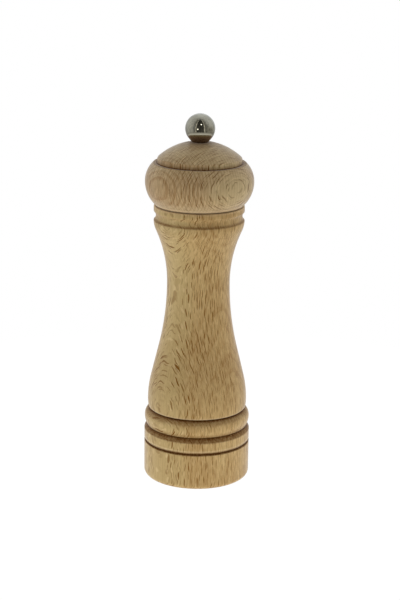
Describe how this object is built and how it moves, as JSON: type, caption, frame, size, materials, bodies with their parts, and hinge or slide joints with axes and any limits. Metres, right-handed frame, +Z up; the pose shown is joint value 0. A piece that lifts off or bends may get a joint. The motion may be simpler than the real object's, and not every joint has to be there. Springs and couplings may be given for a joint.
{
  "type": "pepper mill",
  "caption": "Turned wooden pepper mill: waisted body with a bead and grooves, domed head that turns, steel ball knob that sets the grind, and a toothed steel grinding set inside.",
  "frame": {"origin": "centre of the foot, on the surface that the mill stands on", "axes": "+Z up along the mill's axis, +X along the bar under the foot"},
  "size_m": [0.0608, 0.0608, 0.21],
  "materials": {
    "body_beech": "satin turned beech",
    "head_beech": "satin turned beech",
    "polished_steel": "polished",
    "shaft_steel": "drawn steel",
    "plate_steel": "zinc plated",
    "screw_steel": "zinc plated",
    "grinding_steel": "hardened",
    "spring_steel": "drawn wire"
  },
  "bodies": {
    "body": {"mill_body": "body_beech", "grinding_ring": "grinding_steel", "ring_bridge": "plate_steel", "base_plate": "plate_steel", "base_plate_screws": "screw_steel"},
    "spring_set": {"spring_washer": "plate_steel", "spring": "spring_steel"},
    "shaft": {"shaft": "shaft_steel", "grinding_cone": "grinding_steel", "cone_washer": "plate_steel", "cone_nut": "plate_steel"},
    "head": {"head": "head_beech", "drive_plate": "plate_steel", "drive_plate_screws": "screw_steel"},
    "knob": {"knob_nut": "polished_steel"}
  },
  "joints": [
    {"name": "head_turn", "type": "hinge", "parent": "body", "child": "spring_set", "pos_m": [0, 0, 0], "axis": [0, 0, 1], "continuous": true},
    {"name": "head_lift", "type": "slide", "parent": "spring_set", "child": "head", "axis": [0, 0, 1], "range_m": [0, 0.065]},
    {"name": "grind_adjust", "type": "slide", "parent": "spring_set", "child": "shaft", "axis": [0, 0, 1], "range_m": [-0.00125, 0.00075], "deforming": ["spring"]},
    {"name": "knob_turn", "type": "hinge", "parent": "head", "child": "knob", "pos_m": [0, 0, 0.2], "axis": [0, 0, 1], "range_deg": [-271, 451]}
  ],
  "couplings": [
    {"joint": "knob_turn", "follows": "grind_adjust", "rad_per_m": -6283.2}
  ]
}
